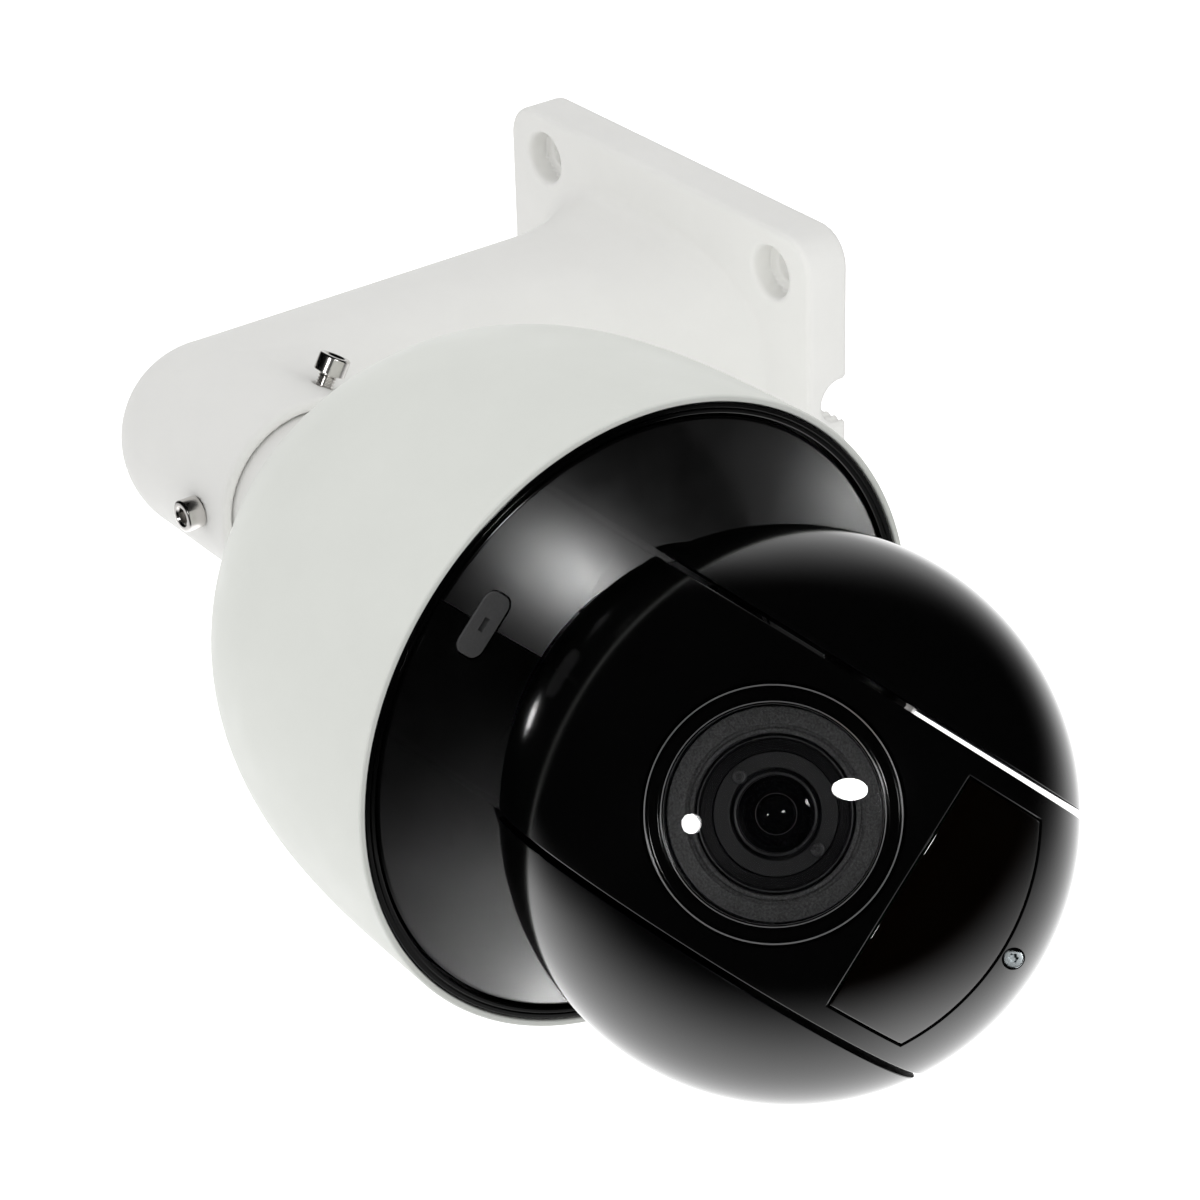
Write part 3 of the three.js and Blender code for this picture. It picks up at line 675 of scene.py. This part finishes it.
def rim():
    outline = smooth_outline([
        (75.4, 5.7), (75.4, 0.45, 0.35), (76.45, 0.45, 0.12), (76.55, 0.9), (76.75, 0.9), (76.85, 0.45, 0.12),
        (78, 0.45, 0.3), (78, 5.7), (75.4, 5.7),
    ], 4)
    turned_piece("rim_bezel_ring", outline, BODY, "root", "black_gloss", "rim_bezel", 192)


# ---- turning head ----
def sphere_slice(radius, start, end, hub, edge, steps):
    """The outline, for a lathe about the tilt axis, of a ball between two planes, with a chamfer at each plane."""
    low, high = math.asin(start / radius), math.asin(min(1, end / radius))
    points = []
    if hub is not None:
        points += [(hub, start), (math.sqrt(radius**2 - start**2) - edge, start)]
        low = math.asin((start + edge) / radius)
    if end < radius:
        high = math.asin((end - edge) / radius)
    points += [(radius * math.cos(a), radius * math.sin(a)) for a in np.linspace(low, high, steps)]
    if end < radius:
        points += [(math.sqrt(radius**2 - end**2) - edge, end), (hub or 0, end)]
    else:
        points[-1] = (0.0, radius)
    return points


ABOUT_X = Matrix.Rotation(math.radians(90), 4, "Y")
DOWN = Matrix.Translation((0, 0, -51.86))


def yoke_half(name, side):
    """Half the turntable with its cap, as moulded on the +X side, then turned round for the other side."""
    table = loose(name, lathe(smooth_outline([
        (0, TABLE_Z0), (TABLE_R, TABLE_Z0, 0.7), (TABLE_R, TABLE_LIP, 0.3), (TABLE_R - 2.2, TABLE_LIP, 0.3),
        (TABLE_R - 2.2, TABLE_Z1), (0, TABLE_Z1),
    ]), 192))
    cap = loose("cap", lathe([(0, CAP_START)] + sphere_slice(BALL_R, CAP_START, BALL_R, 0, 0.2, 48)[1:], 160),
                DOWN @ ABOUT_X)
    neck_post = loose("neck post", lathe([(0, -14), (NECK_R, -14), (NECK_R, 2.4), (0, 2.4)], 128))
    boolean(neck_post, "INTERSECT", loose("side", block(CAP_START + 0.001, 90, -90, 90, -60, 20)))
    boolean(table, "UNION", neck_post, cap)
    opening = loose("opening", lathe(smooth_outline([
        (0, -2), (OPENING + 2.4, -2), (OPENING + 0.35, TABLE_Z0 - 0.05), (OPENING, TABLE_Z0 + 0.3), (OPENING, 12),
        (0, 12),
    ]), 160))
    boolean(opening, "INTERSECT", loose("between", block(-CAP_START, CAP_START, -60, 60, -3, 13)))
    inside = CAP_START + WALL - 0.1
    hollow = loose("hollow", lathe([(0, inside)] + sphere_slice(BALL_R - WALL, inside, BALL_R - WALL, 0, 0.01, 28)[1:],
                                   96), DOWN @ ABOUT_X)
    passage = loose("passage", lathe([(0, -40), (NECK_R - 2.2, -40), (NECK_R - 2.2, 12), (0, 12)], 96))
    boolean(passage, "INTERSECT", loose("side", block(inside, 90, -90, 90, -60, 20)))
    hub = loose("hub", lathe([(0, 30), (HUB_HOLE, 30), (HUB_HOLE, 40), (0, 40)], 64), DOWN @ ABOUT_X)
    boolean(table, "DIFFERENCE", opening, hollow, passage, hub)
    boolean(table, "INTERSECT", loose("half", block(0.15, 90, -90, 90, -140, 20)))
    if side < 0:
        table.data.transform(Matrix.Rotation(math.pi, 4, "Z"))
    boolean(table, "DIFFERENCE", loose("plug hole", plug_shape(0.3, -2, 10)))
    clean(table)
    return table


def plug_shape(grow, z0, z1):
    outline = rounded_rectangle(PLUG_LONG + 2 * grow, PLUG_WIDE + 2 * grow, 2.9 + grow)
    return stack([[(x, y - PLUG_OUT, z) for x, y in outline] for z in (z1, z0)])


def turntable():
    normals = ball_normals(BALL, (BALL_R, WALL - BALL_R))
    for name, side in (("right", 1), ("left", -1)):
        half = yoke_half("yoke_half_" + name, side)
        finish(half, HEAD, "turning_head", "black_gloss", "yoke_shell_" + name, angle=28, round_normals=normals,
               flats=((0, "slit_black"), (2, "black_satin")))


def plug():
    rings = []
    for inset, z in ((0.0, 5.3), (0.0, 1.15), (0.08, 0.98), (0.22, 0.85), (0.42, 0.8)):
        outline = rounded_rectangle(PLUG_LONG - 2 * inset, PLUG_WIDE - 2 * inset, 2.9 - inset)
        rings.append([(x, y - PLUG_OUT, z) for x, y in outline])
    obj = loose("grey_plug", stack(rings))
    slot = loose("slot", block(-1.7, 1.7, -PLUG_OUT - 0.8, -PLUG_OUT + 0.8, 0, 2.6))
    boolean(obj, "DIFFERENCE", slot)
    finish(obj, HEAD, "turning_head", "grey_rubber", "cover_plug", angle=40)


# ---- nodding slice ----
def window_region(grow):
    """Limits of the infrared window: half its width, the upper edge's drop and the lower edge's advance."""
    return IR_HALF + grow, IR_TOP - grow, IR_FRONT - grow


def window_point(radius, grow, s, t):
    """A point on the window: s from -1 to 1 across, t from 0 at its upper edge to 1 at its lower edge."""
    half, top, front = window_region(grow)
    x = half * s
    ring = math.sqrt(radius**2 - x * x)
    high = math.asin(top / ring)
    low = math.acos(front / ring)
    a = high + (low - high) * t
    return (x, -ring * math.cos(a), -ring * math.sin(a))


def window_solid(layers, columns=40, rows=22):
    """A solid over the window's outline through (radius, grow) layers, the first and last closed by curved grids."""
    border = [(i, 0) for i in range(columns)] + [(columns, j) for j in range(rows)]
    border += [(i, rows) for i in range(columns, 0, -1)] + [(0, j) for j in range(rows, 0, -1)]
    place = lambda layer, i, j: window_point(layer[0], layer[1], 2 * i / columns - 1, j / rows)
    verts, faces = [], []
    rims = []
    for layer in (layers[0], layers[-1]):
        start = len(verts)
        number = lambda i, j, start=start: start + i * (rows + 1) + j
        verts += [place(layer, i, j) for i in range(columns + 1) for j in range(rows + 1)]
        for i in range(columns):
            for j in range(rows):
                faces.append((number(i, j), number(i + 1, j), number(i + 1, j + 1), number(i, j + 1)))
        rims.append([number(i, j) for i, j in border])
    chain = [rims[0]]
    for layer in layers[1:-1]:
        chain.append(list(range(len(verts), len(verts) + len(border))))
        verts += [place(layer, i, j) for i, j in border]
    chain.append(rims[1])
    for a, b in zip(chain, chain[1:]):
        for k in range(len(border)):
            j = (k + 1) % len(border)
            faces.append((a[k], a[j], b[j], b[k]))
    return verts, faces


def drum_shell(name, front):
    hub, edge = HUB_HOLE, 0.2
    outer = sphere_slice(BALL_R, -DRUM_HALF, DRUM_HALF, hub, edge, 60)
    inner_half = DRUM_HALF - WALL
    inner = sphere_slice(BALL_R - WALL, -inner_half, inner_half, hub, 0.01, 36)
    outline = outer + inner[::-1] + [outer[0]]
    obj = loose(name, lathe(outline, 192), ABOUT_X)
    keep = (-90, SEAM - 0.15) if front else (SEAM + 0.15, 90)
    boss_axis = Matrix.Translation((0, 0, -SCREW_DOWN)) @ Matrix.Rotation(math.radians(90), 4, "X")
    boss = loose("boss", lathe([(0, -14), (4.2, -14), (4.2, 40), (0, 40)], 48), boss_axis)
    boolean(boss, "INTERSECT", loose("ball", lathe(sphere_slice(BALL_R - 0.4, -33, 33, 0, 0.01, 40), 96), ABOUT_X))
    boolean(obj, "UNION", boss)
    boolean(obj, "INTERSECT", loose("keep", block(-60, 60, *keep, -90, 90)))
    if front:
        rim = math.sqrt(BALL_R**2 - LENS_HOLE**2)
        mouth = loose("lens hole", lathe([
            (0, 40), (LENS_HOLE, 40), (LENS_HOLE, rim - 0.55), (LENS_HOLE + 1.2, rim + 0.65), (LENS_HOLE + 1.2, 80),
            (0, 80),
        ], 192), Matrix.Rotation(math.radians(90), 4, "X"))
        window = loose("window hole", window_solid([(BALL_R - 5, 0.3), (BALL_R - 0.3, 0.3), (BALL_R + 0.5, 1.1)]))
        pocket = loose("pocket", lathe([
            (0, 21), (2.5, 21), (2.5, 60), (0, 60)], 64), boss_axis)
        drill = loose("drill", lathe([(0, -30), (1.5, -30), (1.5, 22), (0, 22)], 32), boss_axis)
        boolean(obj, "DIFFERENCE", mouth, window, pocket, drill)
    clean(obj)
    normals = ball_normals(BALL, (BALL_R, WALL - BALL_R))
    finish(obj, DRUM, "tilting_drum", "black_gloss", "drum_front" if front else "drum_rear", angle=28,
           round_normals=normals, flats=((0, "slit_black"),))


def infrared_window():
    outer = BALL_R - 0.1
    layers = [(outer, -0.4), (outer - 0.04, -0.2), (outer - 0.16, -0.06), (outer - 0.35, 0.0), (outer - 2.1, 0.0)]
    obj = loose("infrared_filter", window_solid(layers))
    finish(obj, DRUM, "tilting_drum", "ir_glass", "ir_window", angle=45)


def lens():
    """The pieces on the lens axis, heights measured from the ball's centre."""
    def part(name, corners, slot, replaced=None, segments=160, material=None, angle=32, steps=4):
        turned_piece(name, smooth_outline(corners, steps), LENS_AXIS, "tilting_drum", slot, replaced, segments,
                     material, angle)

    # A thin ring over an edge of a black gloss piece: its grey colour is a painted highlight for the bright edge line,
    # and its gloss also catches the lamps
    def highlight_ring(name, radius, z, thick):
        turn = np.linspace(0, 2 * math.pi, 12, endpoint=False)
        ring = [(radius + thick * math.cos(a), z + thick * math.sin(a)) for a in turn]
        turned_piece(name, ring, LENS_AXIS, "tilting_drum", "black_gloss", None, 160, "grey_satin", 60)

    part("lens_bezel_ring", [
        (22.9, 50), (29.5, 50, 0.3), (29.5, 52), (27.1, 52), (27.1, 58.4, 0.2), (26.5, 58.4, 0.2), (26.2, 57.4, 0.3),
        (23.9, 57.2, 0.4), (23.6, 58.2, 0.2), (22.9, 58.2, 0.2), (22.9, 50),
    ], "black_gloss", "lens_bezel")
    part("lens_shroud_ring", [
        (16.9, 50.2), (22.6, 50.2), (22.6, 52.6, 0.2), (19.0, 51.7, 0.2), (18.6, 50.9), (18.1, 50.9, 0.1),
        (17.9, 51.5, 0.1), (17.2, 51.5, 0.1), (16.9, 51.0), (16.9, 50.2),
    ], "grey_shroud", "lens_shroud")
    steps = []
    for k in range(7):
        r = 15.6 - 0.34 * k
        z = 50.4 - 0.26 * k
        steps += [(r, z, 0.05), (r - 0.17, z, 0.05), (r - 0.2, z - 0.26, 0.04)]
    part("lens_barrel_front", [
        (0, 8), (16.5, 8), (16.5, 51.4, 0.25), (15.9, 51.4, 0.15), (15.75, 50.7), *steps, (13.2, 48.0, 0.1),
        (9.6, 48.0, 0.15), (9.6, 46, 0.1), (8.9, 46), (8.9, 41), (0, 41),
    ], "black_matt", "lens_barrel")
    part("lens_retaining_ring", [(9.7, 47.9), (13.1, 47.9), (13.1, 48.7, 0.2), (9.7, 48.6, 0.25), (9.7, 47.9)],
         "black_matt", material="dark_satin")
    part("lens_element_ring", [(8.1, 41.3), (8.9, 41.3), (8.9, 48.6, 0.2), (8.1, 48.6, 0.2), (8.1, 41.3)],
         "black_matt")
    # Rings whose grey colour paints the highlights along the lens's ring edges
    for name, radius, z, thick in (
        ("outer", 26.8, 58.35, 0.17), ("inner", 23.35, 58.15, 0.14), ("inmost", 22.95, 57.9, 0.12),
        ("barrel", 16.2, 51.4, 0.17), ("element", 8.55, 48.6, 0.26), ("dome", 4.35, 47.15, 0.08),
    ):
        highlight_ring("lens_painted_highlight_" + name, radius, z, thick)
    bowl = [(r, 46.2 + math.sqrt(30**2 - r * r) - math.sqrt(30**2 - 8.1**2)) for r in np.linspace(8.1, 4.5, 8)]
    dome = [(r, 47.1 + math.sqrt(6**2 - r * r) - math.sqrt(6**2 - 4.2**2)) for r in np.linspace(4.2, 0, 14)]
    dome = bowl + [(4.4, 47.0), (4.25, 47.0)] + dome
    turned_piece("lens_front_element", [(0, 41.3), (8.1, 41.3), *dome], LENS_AXIS, "tilting_drum", "clear_glass",
                 "lens_element", 96, "lens_black")
    outer = [(r, math.sqrt(63.0**2 - r * r)) for r in np.linspace(22.6, 0, 30)]
    inner = [(r, math.sqrt(61.4**2 - r * r)) for r in np.linspace(0, 22.6, 24)]
    turned_piece("lens_cover_glass", inner + outer, LENS_AXIS, "tilting_drum", "clear_glass", "lens_window", 128)
    for name, (x, y) in (("a", (2.6, 10.6)), ("b", (-1.6, -11.4))):
        screw = lathe(smooth_outline([
            (0, 47), (1.5, 47), (1.5, 49.5, 0.3), (0.7, 49.5, 0.1), (0.6, 48.9), (0, 48.8),
        ]), 40)
        obj = loose("lens_screw_" + name, screw)
        finish(obj, LENS_AXIS @ Matrix.Translation((x, y, 0)), "tilting_drum", "black_matt", None, "grey_satin")


def star(radius, depth, count=6):
    return [(radius * (1 + depth * math.cos(count * a)) * math.cos(a), radius * (1 + depth * math.cos(count * a))
             * math.sin(a)) for a in np.linspace(0, 2 * math.pi, 72, endpoint=False)]


def cover_screw():
    top = 23.8
    obj = loose("star_screw", lathe(smooth_outline([
        (0, -9.5), (1.2, -9.5), (1.2, 21.3), (2.2, 21.3, 0.1), (2.2, top, 0.35), (0, top),
    ]), 64))
    recess = loose("recess", stack([[(x, y, z) for x, y in star(0.95, 0.16)] for z in (top + 1, top - 1.3)]))
    boolean(obj, "DIFFERENCE", recess)
    place = Matrix.Translation((0, 0, -SCREW_DOWN)) @ Matrix.Rotation(math.radians(90), 4, "X")
    finish(obj, DRUM @ place, "tilting_drum", "steel", "drum_screw", "screw_zinc", 25)


# ---- floor, world and lights ----
class WorldNodes:
    """A short way to write the world's brightness by direction."""

    def __init__(self, tree):
        self.tree = tree
        self.direction = tree.nodes.new("ShaderNodeTexCoord").outputs["Generated"]

    def along(self, direction, low, high, start, end):
        """A smooth step of brightness from low to high as the view turns towards a direction."""
        dot = self.tree.nodes.new("ShaderNodeVectorMath")
        dot.operation = "DOT_PRODUCT"
        dot.inputs[1].default_value = direction
        self.tree.links.new(self.direction, dot.inputs[0])
        step = self.tree.nodes.new("ShaderNodeMapRange")
        step.interpolation_type = "SMOOTHSTEP"
        for name, value in (("From Min", start), ("From Max", end), ("To Min", low), ("To Max", high)):
            step.inputs[name].default_value = value
        self.tree.links.new(dot.outputs["Value"], step.inputs["Value"])
        return step.outputs["Result"]

    def math(self, operation, a, b):
        node = self.tree.nodes.new("ShaderNodeMath")
        node.operation = operation
        for socket, value in zip(node.inputs, (a, b)):
            if isinstance(value, (int, float)):
                socket.default_value = value
            else:
                self.tree.links.new(value, socket)
        return node.outputs["Value"]


def stage():
    h = FLOOR_HALF
    floor = loose("floor", ([(-h, -h, 0), (h, -h, 0), (h, h, 0), (-h, h, 0)], [(0, 1, 2, 3)]),
                  Matrix.Translation((0, 0, -FLOOR_DEPTH)))
    n = Nodes("pale floor").set(Roughness=0.7)
    n.color(n.ramp(n.noise(3, 4), 0.795, 0.81))
    floor.data.materials.append(n.material)
    floor.visible_glossy = False
    floor.visible_transmission = False
    world = bpy.data.worlds.new("studio")
    bpy.context.scene.world = world
    world.use_nodes = True
    n = WorldNodes(world.node_tree)
    lower = n.along(studio(0, -0.6, -1), 0, 1.6, 0.13, 0.82)
    upper = n.along(studio(0, 0, -1), 0, 0.95, 0.2, 0.95)
    left = n.along(studio(-0.85, 0.5, 0), 1, 0, 0.46, 0.76)
    right = n.along(studio(0.87, 0.5, 0), 1, 0, 0.55, 0.9)
    dim = n.along(studio(1, 0.3, 0), 1, 0.5, 0.2, 0.8)
    seen = n.math("MULTIPLY", n.math("MAXIMUM", lower, upper), n.math("MULTIPLY", dim, n.math("MULTIPLY", left, right)))
    path = world.node_tree.nodes.new("ShaderNodeLightPath").outputs
    even = n.math("MULTIPLY", path["Is Diffuse Ray"], FILL)
    gloss = n.math("MULTIPLY", n.math("SUBTRACT", 1.0, path["Is Diffuse Ray"]), seen)
    strength = n.math("MAXIMUM", n.math("ADD", even, gloss), path["Is Camera Ray"])
    background = world.node_tree.nodes["Background"]
    world.node_tree.links.new(strength, background.inputs["Strength"])
    background.inputs["Color"].default_value = (1, 1, 1, 1)


def area_light(name, direction, distance, size, power, aim=None, glossy=True, soft=False, long=UP):
    """An elliptical light, placed from its aim along a direction. A soft one fades towards its edge."""
    data = bpy.data.lights.new(name, "AREA")
    data.shape = "ELLIPSE"
    data.size, data.size_y = size
    data.energy = power
    light = bpy.data.objects.new(name, data)
    aim = BALL if aim is None else aim
    across = (long - direction * long.dot(direction)).normalized()
    turn = Matrix((across, direction.cross(across), direction)).transposed().to_4x4()
    light.matrix_world = Matrix.Translation(aim + direction * distance) @ turn
    if soft:
        data.use_nodes = True
        tree = data.node_tree
        point = tree.nodes.new("ShaderNodeNewGeometry")
        local = tree.nodes.new("ShaderNodeMapping")
        local.vector_type = "TEXTURE"
        local.inputs["Location"].default_value = light.matrix_world.translation
        local.inputs["Rotation"].default_value = light.matrix_world.to_euler()
        local.inputs["Scale"].default_value = (size[0] / 2, size[1] / 2, 1)
        out = tree.nodes.new("ShaderNodeVectorMath")
        out.operation = "LENGTH"
        fade = tree.nodes.new("ShaderNodeMapRange")
        fade.interpolation_type = "SMOOTHERSTEP"
        fade.inputs["To Min"].default_value = 1
        fade.inputs["To Max"].default_value = 0
        tree.links.new(point.outputs["Position"], local.inputs["Vector"])
        tree.links.new(local.outputs["Vector"], out.inputs[0])
        tree.links.new(out.outputs["Value"], fade.inputs["Value"])
        tree.links.new(fade.outputs["Result"], tree.nodes["Emission"].inputs["Strength"])
    light.visible_glossy = glossy
    light.visible_transmission = glossy
    light.visible_camera = False
    bpy.context.scene.collection.objects.link(light)
    return light


def only_on(light, pieces):
    """A light for some pieces alone, that nothing shades."""
    lit = bpy.data.collections.new(light.name + " pieces")
    shade = bpy.data.collections.new(light.name + " shade")
    for piece in pieces:
        lit.objects.link(piece)
    shade.objects.link(bpy.data.objects["floor"])
    light.light_linking.receiver_collection = lit
    light.light_linking.blocker_collection = shade


def glow(name, piece, spot, normal, size, power):
    """A soft highlight centred on a spot of one piece, in the main view."""
    sight = (spot - VIEW_FROM).normalized()
    back = sight - 2 * sight.dot(normal) * normal
    light = area_light(name, back, 0.5, size, power, aim=spot, soft=True, long=HEAD.col[1].xyz.normalized())
    light.data.cycles.use_multiple_importance_sampling = False
    only_on(light, [bpy.data.objects[piece]])


def lights():
    for flash in (area_light("flash left", studio(-0.655, -0.025, 0.755), 1.2, (0.15, 0.15), 1.9, long=VIEW_RIGHT),
                  area_light("flash right", studio(0.35, 0.205, 0.91), 1.05, (0.25, 0.15), 4.2, long=VIEW_RIGHT)):
        flash.visible_diffuse = False
    area_light("soft front", studio(-0.475, -0.61, 0.644), 1.5, (1.4, 1.4), 0.6, glossy=False)
    area_light("soft below", studio(0.37, -0.31, 0.87), 1.5, (1.4, 1.4), 7, glossy=False)
    bounce = area_light("bounce on the plate", Vector((0.05, -0.5, -0.86)).normalized(), 0.15, (0.12, 0.12), 0.085,
                        aim=Vector((0.02, -0.03, -0.05)), glossy=False)
    only_on(bounce, [bpy.data.objects["bracket_casting"]])
    for name, side, spot, size, power in (
        ("table glow near", "right", (20, -45), (0.066, 0.036), 0.125),
        ("table glow far", "right", (72, 31), (0.07, 0.06), 0.1),
        ("table glow low", "left", (-70, 29), (0.21, 0.21), 0.24),
        ("table glow bright", "left", (-71, 31), (0.05, 0.05), 0.13),
    ):
        glow(name, "yoke_half_" + side, HEAD @ Vector((*spot, 0.8)), UP, size, power)
    away = Vector((0.479, -0.7625, 0.4352)).normalized()
    glow("drum glow", "drum_front_shell", BALL + away * BALL_R * MM, away, (0.07, 0.07), 0.07)


# ---- the scene ----
add_camera()
stage()
bracket()
neck()
clamp_screws()
housing()
rim()
turntable()
plug()
drum_shell("drum_front_shell", True)
drum_shell("drum_rear_shell", False)
infrared_window()
lens()
cover_screw()
lights()

SLOTS = {part["node"]: part["material_slot"] for part in frame["record"]["subparts"]}
for name, obj in frame["nodes"].items():
    obj.data.materials.clear()
    obj.data.materials.append(MATERIALS[SLOTS[name]])

view = bpy.context.scene.view_settings
view.view_transform = "Standard"
view.look = "None"
